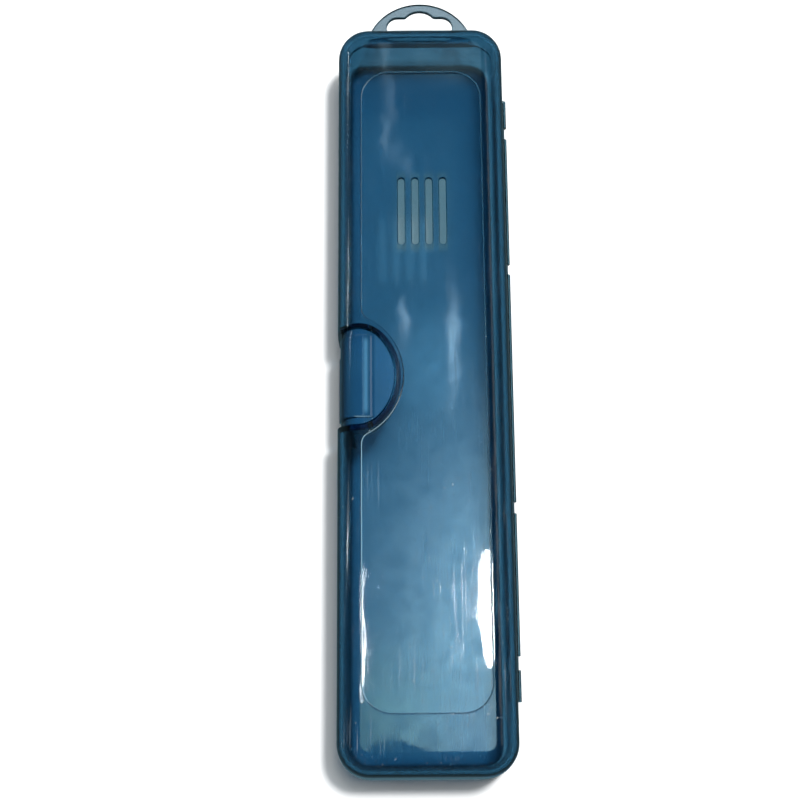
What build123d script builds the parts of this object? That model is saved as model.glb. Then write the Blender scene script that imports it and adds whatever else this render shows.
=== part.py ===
from build123d import *
import os
from math import radians, sqrt, tan

# Toothbrush case: a moulded base and lid, hinged on a rod along one long side and held shut
# by a D-shaped rocker latch in the middle of the other. Millimetres, +Z up, +Y towards the
# hanging tab, +X towards the hinge. The origin is the middle of the base's flat underside.

# Case body
case_width = 46.0
case_length = 206.0
base_height = 12.0
lid_height = 12.0
wall = 1.5
base_floor = 1.5
lid_roof = 1.5
plan_corner_radius = 8.5
draft_angle = 1.0
lid_edge_radius = 6.0
base_edge_radius = 6.0
rim_chamfer = 0.25

# Lip on the base's rim, and the rebate in the lid's rim that drops over it
lip_thickness = 0.6
lip_height = 1.2
lip_clearance = 0.12
lip_stop_from_hinge = 9.0
lip_gap_at_latch = 1.0

# Shallow panel in the lid's roof
panel_side_border = 0.5
panel_end_border = 9.3
panel_corner_radius = 7.5
panel_depth = 0.5
panel_edge_radius = 0.4
panel_latch_border = 0.8
panel_blend_radius = 3.0

# Vent slots in the panel
vent_count = 4
vent_width = 1.8
vent_length = 19.4
vent_pitch = 3.75
vent_from_far_end = 56.5
vent_edge_radius = 0.3

# Hanging tab with its euro slot
tab_radius = 15.6
tab_centre_inset = 3.0
tab_thickness = 1.6
tab_edge_radius = 0.4
tab_root_depth = 0.15
slot_length = 18.8
slot_height = 6.3
slot_from_end = 5.15
slot_hump_radius = 5.1
slot_blend_radius = 0.8

# Hinge along the +X side
rod_radius = 0.6
rod_end_inset = 0.4
rod_end_chamfer = 0.15
hinge_offset = 0.05
knuckle_radius = 1.15
knuckle_clearance = 0.15
knuckle_end_clearance = 0.4
rod_clearance = 0.15
fixed_bore_clearance = 0.02
running_clearance = 0.05
hinge_end_margin = 19.0
end_knuckle_length = 8.0
end_gap = 3.7
lid_knuckle_length = 37.3
middle_gap = 3.2

# Well in the lid for the latch's plate, and pocket down the side for its skirt
well_arc_radius = 16.0
well_arc_outset = 0.2
well_half_length = 13.6
well_corner_radius = 8.0
well_wall = 1.2
well_depth = 5.7
pocket_half_length = 13.3
pocket_depth = 3.2

# Rocker latch
latch_gap_front = 0.5
latch_gap_end = 0.35
latch_side_inset = 0.8
latch_shell = 1.3
latch_step = 0.7
plate_edge_radius = 0.3
grip_width = 9.2
grip_crown_radius = 9.0
grip_gap_end = 1.9
grip_edge_radius = 0.6
skirt_below_rim = 4.0
pull_lip_reach = 0.6
pull_lip_height = 1.2
barrel_radius = 1.6
pin_radius = 0.75
pin_from_side = 8.8
pin_below_top = 3.4
pin_end_inset = 0.3

# Catch between the latch's hook and the base's ridge
catch_half_length = 9.0
catch_slope_angle = 40.0
catch_gap = 0.15
ridge_below_rim = 2.4
ridge_flat = 0.3
hook_flat = 0.4
hook_tip_gap = 0.2

# Levels and edges worked out from the sizes above
half_width = case_width / 2
half_length = case_length / 2
rim = base_height
top = base_height + lid_height
roof_setback = lid_edge_radius + lid_height * tan(radians(draft_angle))
panel_width = case_width - 2 * (roof_setback + panel_side_border)
panel_length = case_length - 2 * (roof_setback + panel_end_border)
hinge_x = half_width + hinge_offset
hinge_end = half_length - hinge_end_margin
end_knuckle_start = hinge_end - end_knuckle_length
lid_knuckle_end = end_knuckle_start - end_gap
lid_knuckle_start = lid_knuckle_end - lid_knuckle_length
middle_knuckle_end = lid_knuckle_start - middle_gap
base_knuckle_spans = [
    (-hinge_end, -end_knuckle_start),
    (-middle_knuckle_end, middle_knuckle_end),
    (end_knuckle_start, hinge_end),
]
lid_knuckle_spans = [
    (-lid_knuckle_end, -lid_knuckle_start),
    (lid_knuckle_start, lid_knuckle_end),
]
well_arc_x = -half_width - well_arc_outset
well_floor = top - well_depth
latch_border_radius = well_arc_radius + well_wall + panel_latch_border
pocket_x = -half_width + pocket_depth
latch_side_x = -half_width + latch_side_inset
skirt_inner_x = latch_side_x + latch_shell
grip_crest_x = latch_side_x + lid_edge_radius
grip_end_x = latch_side_x + grip_width
skirt_bottom = rim - skirt_below_rim
pin_x = -half_width + pin_from_side
pin_z = top - pin_below_top


def case_plan(plane, inset):
    """Plan of the case on a plane, drawn in from its outer edge by an inset."""
    with BuildSketch(plane) as plan:
        RectangleRounded(case_width - 2 * inset, case_length - 2 * inset, plan_corner_radius - inset)
    return plan.sketch


def latch_plan(plane, arc_radius, half_span, side_half_span, grow=0.0):
    """D-shaped plan: nearly straight ends on the case's side and an arc towards the middle."""
    corner_x = well_arc_x + sqrt(arc_radius**2 - half_span**2)
    side_x = -half_width - latch_side_inset
    with BuildSketch(plane) as plan:
        with BuildLine():
            ThreePointArc((corner_x, half_span), (well_arc_x + arc_radius, 0), (corner_x, -half_span))
            Polyline(
                (corner_x, -half_span),
                (side_x, -side_half_span),
                (side_x, side_half_span),
                (corner_x, half_span),
            )
        make_face()
        fillet(plan.vertices().group_by(Axis.X)[-1], well_corner_radius)
        if grow:
            offset(amount=grow)
    return plan.sketch


def side_strip(plane, inner_x, half_span):
    """Plan of a block at the latch's side of the case, from outside it to an inner face."""
    with BuildSketch(plane) as plan:
        with Locations((inner_x, 0)):
            Rectangle(2 * (inner_x + half_width), 2 * half_span, align=(Align.MAX, Align.CENTER))
    return plan.sketch


def bent_profile(plane, inset, end_x, bottom):
    """Profile that follows the lid's roof and bends down its side, drawn in by an inset."""
    side_x = latch_side_x + inset
    with BuildSketch(plane) as profile:
        with Locations((side_x, top - inset)):
            Rectangle(end_x - side_x, top - inset - bottom, align=(Align.MIN, Align.MAX))
        fillet(profile.vertices().group_by(Axis.X)[0].sort_by(Axis.Y)[-1], lid_edge_radius - inset)
    return profile.sketch


def across(y):
    """Plane across the case at a station along it, with its local x and y along X and Z."""
    return Plane.XZ.offset(-y)


def round_run(x, z, start, end, radius, mode=Mode.ADD):
    """Round bar or bore along the case between two stations."""
    with BuildSketch(across(end)) as section:
        with Locations((x, z)):
            Circle(radius)
    extrude(section.sketch, amount=end - start, mode=mode)


def catch_run(points):
    """Rib along the catch, from the points of its profile in X and Z."""
    with BuildSketch(across(catch_half_length)) as profile:
        with BuildLine():
            Polyline(*points, close=True)
        make_face()
    extrude(profile.sketch, amount=2 * catch_half_length)


def hinge_side(own_spans, other_spans, bore_clearance):
    """Room for the rod and the other shell's knuckles, then this shell's own knuckles."""
    round_run(hinge_x, rim, -hinge_end, hinge_end, rod_radius + rod_clearance, Mode.SUBTRACT)
    for start, end in other_spans:
        round_run(
            hinge_x,
            rim,
            start - knuckle_end_clearance,
            end + knuckle_end_clearance,
            knuckle_radius + knuckle_clearance,
            Mode.SUBTRACT,
        )
    for start, end in own_spans:
        round_run(hinge_x, rim, start, end, knuckle_radius)
    round_run(hinge_x, rim, -hinge_end, hinge_end, rod_radius + bore_clearance, Mode.SUBTRACT)


# Hanging tab, level with the rim, its root let into the base's end wall
with BuildPart() as hanging_tab:
    slot_y = half_length + slot_from_end
    with BuildSketch(Plane.XY.offset(rim)):
        with Locations((0, half_length - tab_centre_inset)):
            Circle(tab_radius)
        with Locations((0, half_length - tab_root_depth)):
            Rectangle(2 * tab_radius, 2 * tab_radius, align=(Align.CENTER, Align.MAX), mode=Mode.SUBTRACT)
        with BuildSketch(mode=Mode.SUBTRACT) as slot:
            with Locations((0, slot_y)):
                Circle(slot_hump_radius)
                Rectangle(
                    2 * slot_hump_radius,
                    2 * slot_hump_radius,
                    align=(Align.CENTER, Align.MAX),
                    mode=Mode.SUBTRACT,
                )
                SlotOverall(slot_length, slot_height)
            hump_feet = slot.vertices().filter_by(lambda v: abs(v.X) < slot_hump_radius)
            fillet(hump_feet.filter_by(lambda v: v.Y > slot_y), slot_blend_radius)
    extrude(amount=-tab_thickness)
    tab_edges = hanging_tab.faces().filter_by(Axis.Z).edges()
    fillet(tab_edges.filter_by(lambda e: e.center().Y > half_length), tab_edge_radius)

hanging_tab.part.label = "hanging_tab"

# Base shell: an open tray with the tab's seat, the latch's pocket and ridge, a lip and knuckles
with BuildPart() as base_cavity:
    extrude(case_plan(Plane.XY.offset(rim), wall), amount=-(base_height - base_floor), taper=draft_angle)
    fillet(base_cavity.faces().sort_by(Axis.Z)[0].edges(), base_edge_radius - wall)
    extrude(
        side_strip(Plane.XY, pocket_x + well_wall, pocket_half_length + well_wall),
        amount=base_height,
        mode=Mode.SUBTRACT,
    )

with BuildPart() as base_shell:
    extrude(case_plan(Plane.XY.offset(rim), 0.0), amount=-base_height, taper=draft_angle)
    fillet(base_shell.faces().sort_by(Axis.Z)[0].edges(), base_edge_radius)
    chamfer(base_shell.faces().sort_by(Axis.Z)[-1].edges(), rim_chamfer)
    add(base_cavity.part, mode=Mode.SUBTRACT)
    extrude(side_strip(Plane.XY, pocket_x, pocket_half_length), amount=base_height, mode=Mode.SUBTRACT)
    add(hanging_tab.part, mode=Mode.SUBTRACT)

    # Lip inside the rim, away from the hinge and from the latch
    with BuildSketch(Plane.XY.offset(rim)):
        add(case_plan(Plane.XY, wall - lip_thickness))
        add(case_plan(Plane.XY, wall), mode=Mode.SUBTRACT)
        with Locations((half_width - lip_stop_from_hinge, 0)):
            Rectangle(case_width, case_length, align=(Align.MIN, Align.CENTER), mode=Mode.SUBTRACT)
        add(
            side_strip(Plane.XY, pocket_x, pocket_half_length + well_wall + lip_gap_at_latch),
            mode=Mode.SUBTRACT,
        )
    extrude(amount=lip_height)

    # Ridge that the latch hooks under
    catch_slope = tan(radians(catch_slope_angle))
    ridge_tip_x = skirt_inner_x + catch_gap
    ridge_bottom = rim - ridge_below_rim
    ridge_tip_z = ridge_bottom + (pocket_x - ridge_tip_x) * catch_slope
    ridge_root_z = ridge_tip_z + ridge_flat + (pocket_x - ridge_tip_x)
    catch_run([
        (pocket_x + well_wall / 2, ridge_bottom),
        (pocket_x, ridge_bottom),
        (ridge_tip_x, ridge_tip_z),
        (ridge_tip_x, ridge_tip_z + ridge_flat),
        (pocket_x, ridge_root_z),
        (pocket_x + well_wall / 2, ridge_root_z),
    ])

    hinge_side(base_knuckle_spans, lid_knuckle_spans, fixed_bore_clearance)

base_shell.part.label = "base_shell"

# Lid shell: a shallow cover with the latch's well, the panel, the vents and its knuckles
with BuildPart() as lid_cavity:
    extrude(case_plan(Plane.XY.offset(rim), wall), amount=lid_height - lid_roof, taper=draft_angle)
    fillet(lid_cavity.faces().sort_by(Axis.Z)[-1].edges(), lid_edge_radius - wall)
    well_base = Plane.XY.offset(well_floor - well_wall)
    extrude(
        latch_plan(well_base, well_arc_radius, well_half_length, pocket_half_length, grow=well_wall),
        amount=well_depth + well_wall,
        mode=Mode.SUBTRACT,
    )
    extrude(
        side_strip(Plane.XY.offset(rim), pocket_x + well_wall, pocket_half_length + well_wall),
        amount=lid_height,
        mode=Mode.SUBTRACT,
    )

with BuildPart() as lid_shell:
    extrude(case_plan(Plane.XY.offset(rim), 0.0), amount=lid_height, taper=draft_angle)
    fillet(lid_shell.faces().sort_by(Axis.Z)[-1].edges(), lid_edge_radius)
    chamfer(lid_shell.faces().sort_by(Axis.Z)[0].edges(), rim_chamfer)
    add(lid_cavity.part, mode=Mode.SUBTRACT)

    # Shallow panel, which runs round the latch
    with BuildSketch(Plane.XY.offset(top - panel_depth)) as panel:
        RectangleRounded(panel_width, panel_length, panel_corner_radius)
        with Locations((well_arc_x, 0)):
            Circle(latch_border_radius, mode=Mode.SUBTRACT)
        latch_corners = panel.vertices().filter_by(lambda v: abs(v.Y) < latch_border_radius)
        fillet(latch_corners.group_by(Axis.X)[0], panel_blend_radius)
    extrude(amount=panel_depth, mode=Mode.SUBTRACT)
    fillet(lid_shell.edges(Select.LAST).group_by(Axis.Z)[-1], panel_edge_radius)

    # Vent slots
    with BuildSketch(Plane.XY.offset(top - lid_roof)):
        with Locations((0, half_length - vent_from_far_end)):
            with GridLocations(vent_pitch, 0, vent_count, 1):
                SlotOverall(vent_length, vent_width, rotation=90)
    extrude(amount=lid_roof, mode=Mode.SUBTRACT)
    fillet(lid_shell.edges(Select.LAST).group_by(Axis.Z)[-1], vent_edge_radius)

    # Well for the latch's plate, pocket for its skirt and holes for its pin
    extrude(
        latch_plan(Plane.XY.offset(well_floor), well_arc_radius, well_half_length, pocket_half_length),
        amount=well_depth,
        mode=Mode.SUBTRACT,
    )
    extrude(
        side_strip(Plane.XY.offset(rim), pocket_x, pocket_half_length),
        amount=lid_height,
        mode=Mode.SUBTRACT,
    )
    pin_bore_end = well_half_length + 2 * well_wall
    round_run(pin_x, pin_z, -pin_bore_end, pin_bore_end, pin_radius + fixed_bore_clearance, Mode.SUBTRACT)

    # Rebate over the base's lip
    with BuildSketch(Plane.XY.offset(rim)):
        add(case_plan(Plane.XY, wall - lip_thickness - lip_clearance))
        with Locations((half_width - lip_stop_from_hinge + lip_clearance, 0)):
            Rectangle(case_width, case_length, align=(Align.MIN, Align.CENTER), mode=Mode.SUBTRACT)
        add(
            side_strip(Plane.XY, pocket_x + well_wall, pocket_half_length + well_wall),
            mode=Mode.SUBTRACT,
        )
    extrude(amount=lip_height + lip_clearance, mode=Mode.SUBTRACT)

    hinge_side(lid_knuckle_spans, base_knuckle_spans, running_clearance)

lid_shell.part.label = "lid_shell"

# Rod through both shells' knuckles
with BuildPart() as hinge_rod:
    rod_half_length = hinge_end - rod_end_inset
    round_run(hinge_x, rim, -rod_half_length, rod_half_length, rod_radius)
    chamfer(hinge_rod.faces().filter_by(Axis.Y).edges(), rod_end_chamfer)

hinge_rod.part.label = "hinge_rod"

# Pin that the latch rocks on
with BuildPart() as latch_pin:
    pin_half_length = well_half_length + well_wall - pin_end_inset
    round_run(pin_x, pin_z, -pin_half_length, pin_half_length, pin_radius)
    chamfer(latch_pin.faces().filter_by(Axis.Y).edges(), rod_end_chamfer)

latch_pin.part.label = "latch_pin"

# Latch's raised grip, which is crowned towards the plate and bends down into the skirt
with BuildPart() as latch_grip:
    grip_half_length = pocket_half_length - grip_gap_end
    grip_plane = across(grip_half_length)
    with BuildSketch(grip_plane) as grip_section:
        add(bent_profile(Plane.XY, 0.0, grip_end_x, skirt_bottom))
        with BuildSketch(mode=Mode.SUBTRACT):
            with Locations((grip_crest_x, top)):
                Rectangle(grip_end_x - grip_crest_x, grip_crown_radius, align=(Align.MIN, Align.MAX))
            with Locations((grip_crest_x, top - grip_crown_radius)):
                Circle(grip_crown_radius, mode=Mode.SUBTRACT)
    extrude(grip_section.sketch, amount=2 * grip_half_length)
    outer_edges = latch_grip.faces().filter_by(Axis.Y).edges()
    outer_edges = outer_edges.filter_by(lambda e: e.center().X < grip_end_x - grip_edge_radius)
    outer_edges = outer_edges.filter_by(lambda e: e.center().Z > skirt_bottom + grip_edge_radius)
    fillet(outer_edges, grip_edge_radius)
    extrude(
        bent_profile(grip_plane, latch_shell, grip_end_x + latch_shell, skirt_bottom - latch_shell),
        amount=2 * grip_half_length,
        mode=Mode.SUBTRACT,
    )

# Rocker latch: a D-shaped plate over a barrel, with the grip, its hook and its pull lip
with BuildPart() as latch_button:
    plate_front_x = well_arc_x + well_arc_radius
    plate_half_length = well_half_length - latch_gap_end
    with BuildSketch(across(plate_half_length)):
        add(bent_profile(Plane.XY, latch_step, plate_front_x, rim))
        add(bent_profile(Plane.XY, latch_step + latch_shell, plate_front_x, rim), mode=Mode.SUBTRACT)
    extrude(amount=2 * plate_half_length)
    round_run(pin_x, pin_z, -plate_half_length, plate_half_length, barrel_radius)
    plate_plan = latch_plan(
        Plane.XY.offset(well_floor),
        well_arc_radius - latch_gap_front,
        plate_half_length,
        pocket_half_length - latch_gap_end,
    )
    extrude(plate_plan, amount=well_depth, mode=Mode.INTERSECT)
    plate_rim = latch_button.faces().filter_by(Axis.Z).sort_by(Axis.Z)[-1].edges()
    fillet(plate_rim.filter_by(GeomType.CIRCLE), plate_edge_radius)
    add(latch_grip.part)

    # Hook under the base's ridge
    hook_tip_x = pocket_x - hook_tip_gap
    hook_tip_z = ridge_bottom + (pocket_x - hook_tip_x) * catch_slope - catch_gap
    hook_root_z = hook_tip_z + (hook_tip_x - skirt_inner_x) * catch_slope
    hook_bottom = hook_tip_z - hook_flat - (hook_tip_x - skirt_inner_x)
    catch_run([
        (skirt_inner_x - latch_shell / 2, hook_root_z),
        (skirt_inner_x, hook_root_z),
        (hook_tip_x, hook_tip_z),
        (hook_tip_x, hook_tip_z - hook_flat),
        (skirt_inner_x, hook_bottom),
        (skirt_inner_x - latch_shell / 2, hook_bottom),
    ])

    # Lip to pull the skirt outwards by
    with BuildSketch(across(catch_half_length)):
        with Locations((skirt_inner_x - latch_shell / 2, skirt_bottom)):
            Rectangle(
                latch_shell / 2 + pull_lip_reach,
                pull_lip_height,
                align=(Align.MAX, Align.MIN),
            )
    extrude(amount=2 * catch_half_length)

    barrel_bore = pin_radius + running_clearance
    round_run(pin_x, pin_z, -well_half_length, well_half_length, barrel_bore, Mode.SUBTRACT)

latch_button.part.label = "latch_button"

os.makedirs("parts", exist_ok=True)
export_step(base_shell.part, "parts/base_shell.step")
export_step(hanging_tab.part, "parts/hanging_tab.step")
export_step(lid_shell.part, "parts/lid_shell.step")
export_step(hinge_rod.part, "parts/hinge_rod.step")
export_step(latch_pin.part, "parts/latch_pin.step")
export_step(latch_button.part, "parts/latch_button.step")
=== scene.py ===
from collections import namedtuple
from math import radians

import bpy
from mathutils import Matrix, Vector

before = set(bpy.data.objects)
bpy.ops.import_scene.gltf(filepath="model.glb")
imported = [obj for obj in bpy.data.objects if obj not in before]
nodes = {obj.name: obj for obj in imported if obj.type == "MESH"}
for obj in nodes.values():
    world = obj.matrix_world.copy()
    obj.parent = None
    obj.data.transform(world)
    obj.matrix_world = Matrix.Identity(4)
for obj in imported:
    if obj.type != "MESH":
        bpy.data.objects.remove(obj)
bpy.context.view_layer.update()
scene = bpy.context.scene
scene.view_settings.view_transform = "Standard"

MM = 0.001


def mm(*values):
    """Millimetres as metres."""
    return tuple(value * MM for value in values)


# Camera, fitted to the photograph: turns in degrees, lens and sensor in millimetres
CAMERA_PLACE = Vector((-5.2, -120.9, 426.5)) * MM
CAMERA_YAW = -0.49
CAMERA_TILT = 15.81
CAMERA_ROLL = 0.29
CAMERA_LENS = 72.0
CAMERA_SENSOR = 36.0
CAMERA_NEAR = 0.01

# Lamps facing straight down: place and oval size in metres, power in watts, colour, and whether
# they show in reflections
WHITE = (1.0, 1.0, 1.0)
WARM_WHITE = (1.0, 0.985, 0.96)
LAMPS = (
    ("key", (0.46, 0.28, 2.0), (0.26, 0.30), 42.0, WHITE, False),
    ("fill", (0.35, 0.30, 2.2), (1.4, 1.4), 30.0, WARM_WHITE, False),
    ("strip", (0.118, 0.230, 2.0), (0.026, 0.175), 0.9, WHITE, True),
    ("side", (1.0, 0.6, 1.9), (0.3, 1.6), 1.8, WHITE, True),
    ("edge", (-0.0706, 0.19, 2.0), (0.006, 0.20), 0.113, WHITE, True),
)

# Plastic: each volume's colour and density per metre, and the two ends of each surface's tint
PLASTIC_IOR = 1.5
SHELL_COLOUR = (0.0, 0.44, 0.63)
SHELL_DENSITY = 700.0
SHELL_TINT = ((0.86, 0.93, 0.95), (0.93, 0.98, 1.0))
LATCH_TINT = ((0.022, 0.14, 0.31), (0.035, 0.19, 0.38))
LATCH_HAZE = 0.3
TAB_COLOUR = (0.0, 0.30, 0.50)
TAB_DENSITY = 60.0
TAB_TINT = ((0.18, 0.245, 0.29), (0.225, 0.30, 0.345))

# Share of the lamps' light that passes a face, where it is plain and where it is an outline
LAMP_SHARE = 0.86
WALL_SHARE = 0.3

# Painted highlight on the step round the sunk panel, a pale milky band: the step's height, the
# highlight's tint and how level the step is, the places where the highlight shows, and how much of
# it shows beyond them
PANEL_STEP_Z = mm(23.5, 23.56)
STEP_HIGHLIGHT_TINT = (0.45, 0.78, 0.95)
STEP_HIGHLIGHT_LEVEL = (0.86, 0.92)
STEP_HIGHLIGHT_MILK = 0.45
STEP_HIGHLIGHT_LEFT_X = mm(-15.5, -13.5)
STEP_HIGHLIGHT_RIGHT_SHARE = 0.12
STEP_HIGHLIGHT_NEAR_Y = mm(-15.0, 15.0)
STEP_HIGHLIGHT_MIDDLE_SHARE = 0.1
STEP_HIGHLIGHT_FAR_Y = mm(76.0, 84.0)
STEP_HIGHLIGHT_FAR_SHARE = 0.35
STEP_HIGHLIGHT_ARC_SHARE = 0.8
STEP_HIGHLIGHT_ARC_X = mm(-6.0, -4.0)
STEP_HIGHLIGHT_ARC_Y = mm(-8.0, -2.0)
STEP_HIGHLIGHT_ARC_END_Y = mm(-24.0, -22.0)

# Painted shade on the outlines: the dark tint painted on steep faces and how level they are, the
# case's outer form, the share that faces inside it darken away from the latch's well, and the edge
# at the far end
OUTLINE_SHADE_TINT = (0.10, 0.17, 0.19)
STEEP_LEVEL = (0.45, 0.93)
CORNER_MIDDLE = mm(14.5, 94.5)
CORNER_RADIUS = 8.5 * MM
EDGE_RADIUS = 6.0 * MM
RIM_Z = 12.0 * MM
SKIN_REACH = mm(5.1, 5.4)
INSIDE_SHARE = 0.42
WELL_END_Y = mm(18.5, 19.5)
WELL_SIDE_X = mm(-5.0, -4.0)
FAR_EDGE_Y = mm(96.5, 98.5)
FAR_EDGE_LEVEL = (0.8, 0.97)

# Painted shade on the outlines of the vents and of the hinge's knuckles
VENT_MIDDLE_Y = 46.5 * MM
VENT_REACH_X = mm(9.0, 11.0)
VENT_REACH_Y = mm(12.0, 13.0)
VENT_LEVEL = (0.9, 0.995)
HINGE_X = mm(22.6, 22.9)
HINGE_SHARE = 0.8

# Upper face of the base's floor, slightly rough, with strips of dust fallen in through the vents
TRAY_FLOOR_Z = 1.5 * MM
TRAY_FLOOR_SPREAD = mm(0.1, 0.3)
TRAY_FLOOR_ROUGHNESS = 0.2
DUST_MIDDLE = mm(0.27, 55.2)
DUST_PITCH = 3.94 * MM
DUST_STRIP_X = mm(1.0, 1.5)
DUST_BETWEEN = 0.25
DUST_REACH_X = mm(7.6, 9.0)
DUST_REACH_Y = mm(10.5, 13.0)
DUST_WEIGHT = 0.1
DUST_TINT = (1.0, 0.85, 0.65)

# Paler places: a painted highlight along the crest of the latch's grip, the latch's plate and the
# tab's root
GRIP_HIGHLIGHT_X = -15.3 * MM
GRIP_HIGHLIGHT_SPREAD = 0.42 * MM
GRIP_HIGHLIGHT_Y = mm(9.0, 11.0)
PLATE_X = mm(-13.1, -12.8)
PLATE_PALENESS = 0.16
LATCH_HIGHLIGHT_TINT = (0.14, 0.44, 0.70)
TAB_ROOT_Y = mm(105.6, 106.6)
TAB_PALE = (0.60, 0.78, 0.88)

# Noises, each with its scale, detail, roughness and distortion, and the range of it that shows
FLOW_NOISE = (28.0, 4.0, 0.55, 0.6)
FLOW_RANGE = (0.35, 0.65)
SCRATCH_STRETCH = (2600.0, 60.0, 2600.0)
SCRATCH_NOISE = (1.0, 2.0, 0.5, 0.0)
SCRATCH_RANGE = (0.60, 0.74)
SPECK_NOISE = (1200.0, 1.0, 0.5, 0.0)
SPECK_RANGE = (0.71, 0.78)
WORN_NOISE = (45.0, 2.0, 0.5, 0.0)
WORN_RANGE = (0.45, 0.62)
SMUDGE_NOISE = (90.0, 5.0, 0.6, 0.0)
SMUDGE_RANGE = (0.4, 0.7)
BUMP_NOISE = (60.0, 2.0, 0.4, 0.0)

# Wear: least share of it anywhere, where it ends and what is left of it there, and how rough,
# milky and deep it is
WORN_LEAST = 0.1
WORN_END_Y = mm(-50.0, 30.0)
WORN_FAR_SHARE = 0.15
WEAR_ROUGHNESS = 0.3
SCRATCH_MILK = 0.12
SPECK_MILK = 0.3
WEAR_HEIGHT = 0.12
SMUDGE_ROUGHNESS = (0.01, 0.04)
BUMP_STRENGTH = 0.06
BUMP_DEPTH = 0.4 * MM

# Steel wire
WIRE_STRETCH = (3000.0, 60.0, 3000.0)
WIRE_NOISE = (1.0, 3.0, 0.6, 0.0)
WIRE_RANGE = (0.3, 0.7)
WIRE_DARK = (0.42, 0.43, 0.44)
WIRE_LIGHT = (0.68, 0.69, 0.70)
WIRE_ROUGHNESS = (0.22, 0.42)

# Table, a hair under the case so that the two surfaces never coincide
TABLE_DROP = 0.2 * MM
TABLE_SIZE = 6.0
TABLE_NOISE = (40.0, 3.0, 0.5, 0.0)
TABLE_DARK = (0.86, 0.86, 0.865)
TABLE_LIGHT = (0.90, 0.90, 0.905)
TABLE_ROUGHNESS = 0.9
TABLE_GLOSS = 0.1

# Room: heights of a direction between which its strength changes, that strength at both, and the
# lowest height that the patches are worked out for
ROOM_HEIGHT = (0.15, 0.6)
ROOM_STRENGTH = (0.22, 0.03)
ROOM_COLOUR = (0.40, 0.80, 1.0)
LOWEST_SKY = 0.01

# Raggedness and mottling of the bright patches overhead
RAGGED_NOISE = (70.0, 3.0, 0.5, 0.0)
RAGGEDNESS = 0.012
MOTTLE_NOISE = (110.0, 3.0, 0.5, 0.0)
MOTTLE_RANGE = (0.35, 0.65)
MOTTLE_STRENGTH = (0.7, 1.2)
BELL_FALL = -0.5

# Bright patches overhead: place and spread in slopes off the vertical, strength and colour
HAZE = (0.62, 0.92, 1.0)
FAR_HAZE = (0.65, 0.95, 1.0)
STREAK = (0.7, 0.9, 1.0)
NEAR_HAZE = (0.6, 1.0, 0.45)
VEIL = (0.25, 0.7, 1.0)
GLINT = (0.9, 0.97, 1.0)
PATCHES = (
    ((0.05, 0.124), (0.04, 0.088), 4.9, HAZE),
    ((0.04, 0.53), (0.035, 0.012), 1.0, FAR_HAZE),
    ((0.0315, 0.32), (0.0022, 0.022), 6.0, STREAK),
    ((0.0, 0.335), (0.002, 0.008), 5.0, STREAK),
    ((-0.0112, 0.532), (0.0018, 0.014), 1.7, STREAK),
    ((-0.0072, 0.497), (0.0018, 0.012), 1.7, STREAK),
    ((-0.0112, 0.469), (0.0018, 0.009), 1.9, STREAK),
    ((-0.0045, 0.459), (0.0022, 0.0065), 1.1, STREAK),
    ((0.0025, 0.449), (0.002, 0.006), 1.0, STREAK),
    ((-0.012, 0.075), (0.03, 0.03), 1.2, NEAR_HAZE),
    ((0.0177, 0.307), (0.0145, 0.024), 1.6, VEIL),
    ((-2.26, 0.8825), (0.2, 0.009), 130.0, GLINT),
    ((-2.2, 0.457), (0.2, 0.012), 50.0, GLINT),
    ((-2.2, 1.30), (0.2, 0.05), 24.0, GLINT),
)

# Dark gap in the patches: place and spread, the width of its edge, and the light left in it
GAP_PLACE = (-0.0055, 0.0615)
GAP_SPREAD = (0.019, 0.0055)
GAP_EDGE = (0.6, 1.3)
GAP_LIGHT = 0.05

# A place on the case, with how level its surface is there: 1 if level and 0 if upright
Spot = namedtuple("Spot", "x y z level")


def new_camera():
    """The photograph's camera: above the case's near end, tilted towards its far end."""
    data = bpy.data.cameras.new("photo_camera")
    data.lens = CAMERA_LENS
    data.sensor_width = CAMERA_SENSOR
    data.clip_start = CAMERA_NEAR
    camera = bpy.data.objects.new("photo_camera", data)
    turn = (
        Matrix.Rotation(radians(CAMERA_YAW), 4, "Z")
        @ Matrix.Rotation(radians(CAMERA_TILT), 4, "X")
        @ Matrix.Rotation(radians(CAMERA_ROLL), 4, "Y")
    )
    camera.matrix_world = Matrix.Translation(CAMERA_PLACE) @ turn
    scene.collection.objects.link(camera)
    scene.camera = camera


def area_light(name, place, size, power, colour, reflected):
    """Oval light facing straight down, never seen through the plastic."""
    data = bpy.data.lights.new(name, "AREA")
    data.shape = "ELLIPSE"
    data.size, data.size_y = size
    data.energy = power
    data.color = colour
    light = bpy.data.objects.new(name, data)
    light.location = place
    light.visible_glossy = reflected
    light.visible_transmission = False
    scene.collection.objects.link(light)


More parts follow.
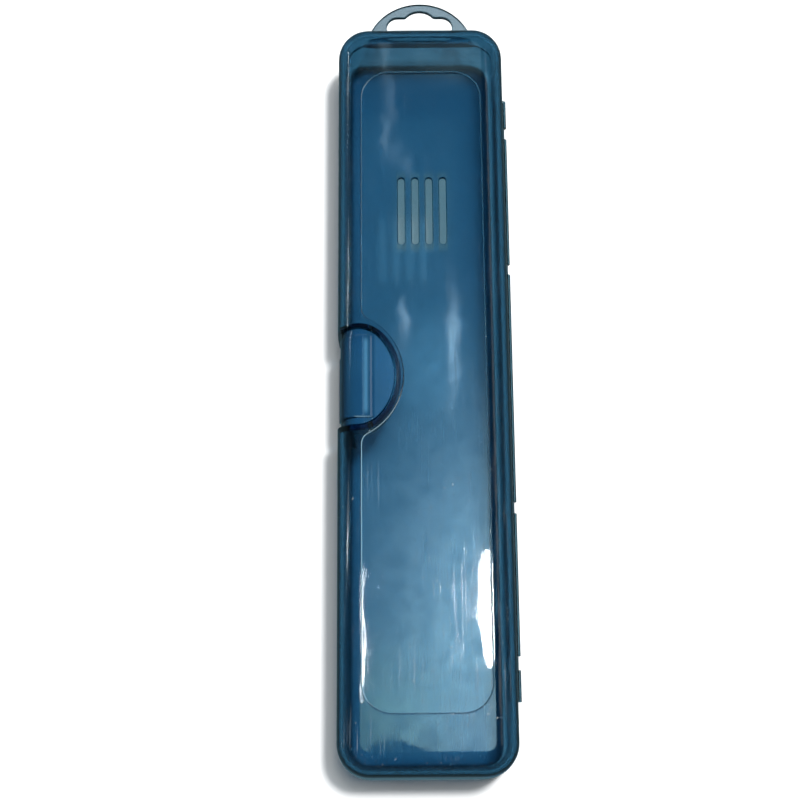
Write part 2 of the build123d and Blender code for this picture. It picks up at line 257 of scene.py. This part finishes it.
class Nodes:
    """Short calls for the nodes and links of a material or a world."""

    def __init__(self, tree):
        self.tree = tree
        self.tree.nodes.clear()

    def add(self, kind, **settings):
        """New node, where each setting is an input's value or a property."""
        node = self.tree.nodes.new(kind)
        for key, value in settings.items():
            if key in node.inputs.keys():
                node.inputs[key].default_value = value
            else:
                setattr(node, key, value)
        return node

    def link(self, source, target):
        self.tree.links.new(source, target)

    def parts(self, vector):
        """X, Y and Z of a vector."""
        node = self.add("ShaderNodeSeparateXYZ")
        self.link(vector, node.inputs["Vector"])
        return [node.outputs[axis] for axis in "XYZ"]

    def noise(self, coords, texture, output="Fac"):
        """Noise with a texture's scale, detail, roughness and distortion."""
        node = self.add("ShaderNodeTexNoise")
        for key, value in zip(("Scale", "Detail", "Roughness", "Distortion"), texture):
            node.inputs[key].default_value = value
        self.link(coords, node.inputs["Vector"])
        return node.outputs[output]

    def stretched(self, coords, scales):
        """Coordinates multiplied by a scale for each axis."""
        node = self.add("ShaderNodeMapping", Scale=scales)
        self.link(coords, node.inputs["Vector"])
        return node.outputs["Vector"]

    def remap(self, source, low, high, to_low, to_high, curve="LINEAR"):
        """Value carried from one range into another, and held at its ends."""
        node = self.add("ShaderNodeMapRange", interpolation_type=curve)
        node.inputs["From Min"].default_value = low
        node.inputs["From Max"].default_value = high
        node.inputs["To Min"].default_value = to_low
        node.inputs["To Max"].default_value = to_high
        self.link(source, node.inputs["Value"])
        return node.outputs["Result"]

    def math(self, operation, *values):
        node = self.add("ShaderNodeMath", operation=operation)
        for socket, value in zip(node.inputs, values):
            if isinstance(value, (int, float)):
                socket.default_value = value
            else:
                self.link(value, socket)
        return node.outputs["Value"]

    def times(self, product, *factors):
        for factor in factors:
            product = self.math("MULTIPLY", product, factor)
        return product

    def plus(self, total, *terms):
        for term in terms:
            total = self.math("ADD", total, term)
        return total

    def larger(self, first, second):
        return self.math("MAXIMUM", first, second)

    def rest(self, share):
        """What a share leaves of 1."""
        return self.math("SUBTRACT", 1.0, share)

    def away(self, value, middle):
        """Distance of a value from a middle, either way."""
        return self.math("ABSOLUTE", self.math("SUBTRACT", value, middle))

    def beyond(self, value, limit):
        """How far a value is past a limit, or 0."""
        return self.larger(self.math("SUBTRACT", value, limit), 0.0)

    def diagonal(self, across, along):
        return self.math("SQRT", self.plus(self.times(across, across), self.times(along, along)))

    def bell(self, squared):
        """1 in the middle of a bell curve, from the squared distance to it."""
        return self.math("EXPONENT", self.times(squared, BELL_FALL))

    def mix(self, factor, first, second, blend="MIX"):
        """Mix of a colour, given as a socket or as numbers, with a second given as numbers."""
        node = self.add("ShaderNodeMix", data_type="RGBA", blend_type=blend)
        self.link(factor, node.inputs["Factor"])
        if isinstance(first, tuple):
            node.inputs["A"].default_value = (*first, 1.0)
        else:
            self.link(first, node.inputs["A"])
        node.inputs["B"].default_value = (*second, 1.0)
        return node.outputs["Result"]


def new_material(name):
    material = bpy.data.materials.new(name)
    material.use_nodes = True
    return material, Nodes(material.node_tree)


def outer_skin(m, spot):
    """1 on the case's outer faces and 0 inside it, by the distance from its edges' middle line."""
    corner = []
    for value, middle in zip((spot.x, spot.y), CORNER_MIDDLE):
        corner.append(m.beyond(m.math("ABSOLUTE", value), middle))
    outwards = m.beyond(m.diagonal(*corner), CORNER_RADIUS - EDGE_RADIUS)
    upwards = m.beyond(m.away(spot.z, RIM_Z), RIM_Z - EDGE_RADIUS)
    return m.remap(m.diagonal(outwards, upwards), *SKIN_REACH, 0.0, 1.0)


def steep_walls(m, spot):
    """Mask of painted shade: 1 on the case's steep faces, less on those inside it, and more along
    the far edge.
    """
    steep = m.remap(spot.level, *STEEP_LEVEL, 1.0, 0.0, "SMOOTHSTEP")
    skin = outer_skin(m, spot)
    off_well = m.larger(
        m.remap(m.math("ABSOLUTE", spot.y), *WELL_END_Y, 0.0, 1.0),
        m.remap(spot.x, *WELL_SIDE_X, 0.0, 1.0),
    )
    inside = m.times(m.rest(skin), off_well)
    steep = m.times(steep, m.remap(inside, 0.0, 1.0, 1.0, INSIDE_SHARE))
    at_far_end = m.remap(spot.y, *FAR_EDGE_Y, 0.0, 1.0)
    far_edge = m.times(skin, at_far_end, m.remap(spot.level, *FAR_EDGE_LEVEL, 1.0, 0.0))
    return m.larger(steep, far_edge)


def vent_outlines(m, spot):
    """Mask of painted shade: 1 on the rounded edges of the vents."""
    across = m.remap(m.math("ABSOLUTE", spot.x), *VENT_REACH_X, 1.0, 0.0)
    along = m.remap(m.away(spot.y, VENT_MIDDLE_Y), *VENT_REACH_Y, 1.0, 0.0)
    return m.times(across, along, m.remap(spot.level, *VENT_LEVEL, 1.0, 0.0))


def outline_shade(m, spot, high):
    """1 on the faces where painted shade darkens the outlines, but 0 on the panel's step and the
    top round it.
    """
    dark = m.times(m.larger(steep_walls(m, spot), vent_outlines(m, spot)), m.rest(high))
    return m.larger(dark, m.remap(spot.x, *HINGE_X, 0.0, HINGE_SHARE))


def painted_step_highlight(m, spot, high):
    """Painted highlight: 1 on the panel's step along its near left side, and fainter round the rest
    of it.
    """
    arc = m.times(
        m.remap(spot.y, *STEP_HIGHLIGHT_ARC_Y, STEP_HIGHLIGHT_ARC_SHARE, 0.0),
        m.remap(spot.x, *STEP_HIGHLIGHT_ARC_X, 1.0, 0.0),
        m.remap(spot.y, *STEP_HIGHLIGHT_ARC_END_Y, 0.0, 1.0),
    )
    across = m.larger(arc, m.remap(spot.x, *STEP_HIGHLIGHT_LEFT_X, 1.0, STEP_HIGHLIGHT_RIGHT_SHARE))
    along = m.larger(
        m.remap(spot.y, *STEP_HIGHLIGHT_NEAR_Y, 1.0, STEP_HIGHLIGHT_MIDDLE_SHARE),
        m.remap(spot.y, *STEP_HIGHLIGHT_FAR_Y, 0.0, STEP_HIGHLIGHT_FAR_SHARE),
    )
    return m.times(high, m.remap(spot.level, *STEP_HIGHLIGHT_LEVEL, 1.0, 0.0), across, along)


def vent_dust(m, spot, on_floor):
    """How thick the dust lies on the base's floor, 1 in the strips under the vents."""
    across = m.math("SUBTRACT", spot.x, DUST_MIDDLE[0])
    from_strip = m.away(m.math("FRACT", m.math("DIVIDE", across, DUST_PITCH)), 0.5)
    strips = m.remap(m.times(from_strip, DUST_PITCH), *DUST_STRIP_X, 1.0, DUST_BETWEEN)
    across = m.remap(m.math("ABSOLUTE", across), *DUST_REACH_X, 1.0, 0.0)
    along = m.remap(m.away(spot.y, DUST_MIDDLE[1]), *DUST_REACH_Y, 1.0, 0.0)
    return m.times(strips, across, along, on_floor)


def latch_highlight(m, spot):
    """Painted highlight along the crest of the latch's grip, and slightly paler plate."""
    across = m.math("DIVIDE", m.math("SUBTRACT", spot.x, GRIP_HIGHLIGHT_X), GRIP_HIGHLIGHT_SPREAD)
    along = m.remap(m.math("ABSOLUTE", spot.y), *GRIP_HIGHLIGHT_Y, 1.0, 0.0, "SMOOTHSTEP")
    plate = m.remap(spot.x, *PLATE_X, 0.0, PLATE_PALENESS)
    return m.larger(m.times(m.bell(m.times(across, across)), along), plate)


def tab_paleness(m, spot):
    """Paler root of the hanging tab."""
    return m.remap(spot.y, *TAB_ROOT_Y, 1.0, 0.0)


def wear_marks(m, coords, spot):
    """Fine scratches along the case and small specks, mostly towards its near end."""
    worn = m.remap(m.noise(coords, WORN_NOISE), *WORN_RANGE, WORN_LEAST, 1.0)
    worn = m.times(worn, m.remap(spot.y, *WORN_END_Y, 1.0, WORN_FAR_SHARE))
    scratches = m.noise(m.stretched(coords, SCRATCH_STRETCH), SCRATCH_NOISE)
    scratches = m.times(m.remap(scratches, *SCRATCH_RANGE, 0.0, 1.0), worn)
    specks = m.times(m.remap(m.noise(coords, SPECK_NOISE), *SPECK_RANGE, 0.0, 1.0), worn)
    return scratches, specks


def plastic(name, colour, density, tint, haze=0.0, highlight_milk=0.0, paleness=None, pale_tint=None):
    """Glossy see-through plastic, coloured through its depth, with faint flow, smudges and wear,
    painted shade along its outlines and a painted highlight on the panel's step.
    """
    material, m = new_material(name)
    coordinates = m.add("ShaderNodeTexCoord")
    coords = coordinates.outputs["Object"]
    normal_z = m.parts(coordinates.outputs["Normal"])[2]
    spot = Spot(*m.parts(coords), m.math("ABSOLUTE", normal_z))
    surface = m.add("ShaderNodeBsdfPrincipled", IOR=PLASTIC_IOR)

    high = m.remap(spot.z, *PANEL_STEP_Z, 0.0, 1.0)
    # Mask of the painted highlight on the panel's step
    step_highlight = painted_step_highlight(m, spot, high)
    # Mask of the painted shade along the outlines
    dark = outline_shade(m, spot, high)
    away_from_floor = m.away(spot.z, TRAY_FLOOR_Z)
    on_floor = m.remap(away_from_floor, *TRAY_FLOOR_SPREAD, 1.0, 0.0)
    dust = vent_dust(m, spot, on_floor)

    shade = m.mix(m.remap(m.noise(coords, FLOW_NOISE), *FLOW_RANGE, 0.0, 1.0), *tint)
    if paleness:
        # Paleness: on the latch a painted highlight along its grip's crest, on the tab its paler
        # root
        shade = m.mix(paleness(m, spot), shade, pale_tint)
    # Painted highlight: the panel's step is tinted pale
    shade = m.mix(step_highlight, shade, STEP_HIGHLIGHT_TINT)
    # Painted shade: the outlines are darkened
    shade = m.mix(dark, shade, OUTLINE_SHADE_TINT, "MULTIPLY")
    shade = m.mix(dust, shade, DUST_TINT, "MULTIPLY")
    m.link(shade, surface.inputs["Base Color"])

    scratches, specks = wear_marks(m, coords, spot)
    wear = m.larger(scratches, specks)
    smudge = m.remap(m.noise(coords, SMUDGE_NOISE), *SMUDGE_RANGE, *SMUDGE_ROUGHNESS)
    rough = m.plus(smudge, m.times(wear, WEAR_ROUGHNESS), m.times(on_floor, TRAY_FLOOR_ROUGHNESS))
    m.link(rough, surface.inputs["Roughness"])
    milky = m.larger(m.times(scratches, SCRATCH_MILK), m.times(specks, SPECK_MILK))
    # The painted step highlight is also made milky
    milky = m.plus(milky, m.times(step_highlight, highlight_milk), m.times(dust, DUST_WEIGHT))
    m.link(m.math("SUBTRACT", 1.0 - haze, milky), surface.inputs["Transmission Weight"])

    bump = m.add("ShaderNodeBump", Strength=BUMP_STRENGTH, Distance=BUMP_DEPTH)
    height = m.plus(m.noise(coords, BUMP_NOISE), m.times(wear, WEAR_HEIGHT))
    m.link(height, bump.inputs["Height"])
    m.link(bump.outputs["Normal"], surface.inputs["Normal"])

    lamp_way = m.add("ShaderNodeBsdfTransparent")
    m.link(m.remap(dark, 0.0, 1.0, LAMP_SHARE, WALL_SHARE), lamp_way.inputs["Color"])
    both = m.add("ShaderNodeMixShader")
    m.link(m.add("ShaderNodeLightPath").outputs["Is Shadow Ray"], both.inputs["Fac"])
    m.link(surface.outputs["BSDF"], both.inputs[1])
    m.link(lamp_way.outputs["BSDF"], both.inputs[2])

    depth = m.add("ShaderNodeVolumeAbsorption", Color=(*colour, 1.0), Density=density)
    output = m.add("ShaderNodeOutputMaterial")
    m.link(both.outputs["Shader"], output.inputs["Surface"])
    m.link(depth.outputs["Volume"], output.inputs["Volume"])
    return material


def drawn_wire(name):
    """Bright drawn steel, with lines along the wire."""
    material, m = new_material(name)
    coords = m.add("ShaderNodeTexCoord").outputs["Object"]
    surface = m.add("ShaderNodeBsdfPrincipled", Metallic=1.0)
    lines = m.noise(m.stretched(coords, WIRE_STRETCH), WIRE_NOISE)
    m.link(m.mix(lines, WIRE_DARK, WIRE_LIGHT), surface.inputs["Base Color"])
    m.link(m.remap(lines, *WIRE_RANGE, *WIRE_ROUGHNESS), surface.inputs["Roughness"])
    output = m.add("ShaderNodeOutputMaterial")
    m.link(surface.outputs["BSDF"], output.inputs["Surface"])
    return material


def white_table(name):
    """Matt white tabletop with the faintest mottling."""
    material, m = new_material(name)
    coords = m.add("ShaderNodeTexCoord").outputs["Object"]
    surface = m.add("ShaderNodeBsdfPrincipled", Roughness=TABLE_ROUGHNESS)
    surface.inputs["Specular IOR Level"].default_value = TABLE_GLOSS
    shade = m.mix(m.noise(coords, TABLE_NOISE), TABLE_DARK, TABLE_LIGHT)
    m.link(shade, surface.inputs["Base Color"])
    output = m.add("ShaderNodeOutputMaterial")
    m.link(surface.outputs["BSDF"], output.inputs["Surface"])
    return material


def new_floor():
    """Large plain floor under the case, left out of reflections."""
    bpy.ops.mesh.primitive_plane_add(size=TABLE_SIZE, location=(0.0, 0.0, -TABLE_DROP))
    floor = bpy.context.object
    floor.name = "floor"
    floor.data.materials.append(white_table("white_table"))
    floor.visible_glossy = False


def sky_slopes(w, x, y, z):
    """A direction's slopes off the vertical, plain and slightly ragged."""
    up = w.larger(z, LOWEST_SKY)
    plain = w.add("ShaderNodeCombineXYZ")
    w.link(w.math("DIVIDE", x, up), plain.inputs["X"])
    w.link(w.math("DIVIDE", y, up), plain.inputs["Y"])
    plain = plain.outputs["Vector"]
    ragged = w.add("ShaderNodeVectorMath", operation="MULTIPLY_ADD")
    w.link(w.noise(plain, RAGGED_NOISE, "Color"), ragged.inputs[0])
    ragged.inputs[1].default_value = (RAGGEDNESS, RAGGEDNESS, 0.0)
    w.link(plain, ragged.inputs[2])
    return plain, w.parts(ragged.outputs["Vector"])


def ellipse(w, slopes, place, spread):
    """Squared distance from a place in the sky, 1 on the ellipse of its spread."""
    distance = 0.0
    for slope, middle, width in zip(slopes, place, spread):
        away = w.math("DIVIDE", w.math("SUBTRACT", slope, middle + RAGGEDNESS / 2), width)
        distance = w.plus(distance, w.times(away, away))
    return distance


def new_world():
    """Dim room, paler low down, with soft bright patches overhead."""
    world = bpy.data.worlds.new("room")
    world.use_nodes = True
    w = Nodes(world.node_tree)
    x, y, z = w.parts(w.add("ShaderNodeTexCoord").outputs["Generated"])

    room = w.add("ShaderNodeBackground", Color=(*ROOM_COLOUR, 1.0))
    w.link(w.remap(z, *ROOM_HEIGHT, *ROOM_STRENGTH, "SMOOTHSTEP"), room.inputs["Strength"])
    light = room.outputs["Background"]

    plain, slopes = sky_slopes(w, x, y, z)
    mottle = w.remap(w.noise(plain, MOTTLE_NOISE), *MOTTLE_RANGE, *MOTTLE_STRENGTH)
    gap = ellipse(w, slopes, GAP_PLACE, GAP_SPREAD)
    mottle = w.times(mottle, w.remap(gap, *GAP_EDGE, GAP_LIGHT, 1.0, "SMOOTHSTEP"))
    for place, spread, power, colour in PATCHES:
        strength = w.times(w.bell(ellipse(w, slopes, place, spread)), power, mottle)
        patch = w.add("ShaderNodeBackground", Color=(*colour, 1.0))
        w.link(strength, patch.inputs["Strength"])
        both = w.add("ShaderNodeAddShader")
        w.link(light, both.inputs[0])
        w.link(patch.outputs["Background"], both.inputs[1])
        light = both.outputs["Shader"]

    output = w.add("ShaderNodeOutputWorld")
    w.link(light, output.inputs["Surface"])
    scene.world = world


def dress(node, material):
    """Gives a CAD node its material."""
    slots = nodes[node].data.materials
    slots.clear()
    slots.append(material)


new_camera()
new_world()
new_floor()
for lamp in LAMPS:
    area_light(*lamp)

# The shell carries the milky painted highlight on its panel's step
shell_plastic = plastic(
    "shell_plastic", SHELL_COLOUR, SHELL_DENSITY, SHELL_TINT, highlight_milk=STEP_HIGHLIGHT_MILK,
)
tab_plastic = plastic(
    "tab_plastic", TAB_COLOUR, TAB_DENSITY, TAB_TINT, paleness=tab_paleness, pale_tint=TAB_PALE,
)
latch_plastic = plastic(
    "latch_plastic", SHELL_COLOUR, SHELL_DENSITY, LATCH_TINT, LATCH_HAZE,
    paleness=latch_highlight, pale_tint=LATCH_HIGHLIGHT_TINT,
)
steel = drawn_wire("steel_wire")

dress("base_shell", shell_plastic)
dress("hanging_tab", tab_plastic)
dress("lid_shell", shell_plastic)
dress("latch_button", latch_plastic)
dress("hinge_rod", steel)
dress("latch_pin", steel)
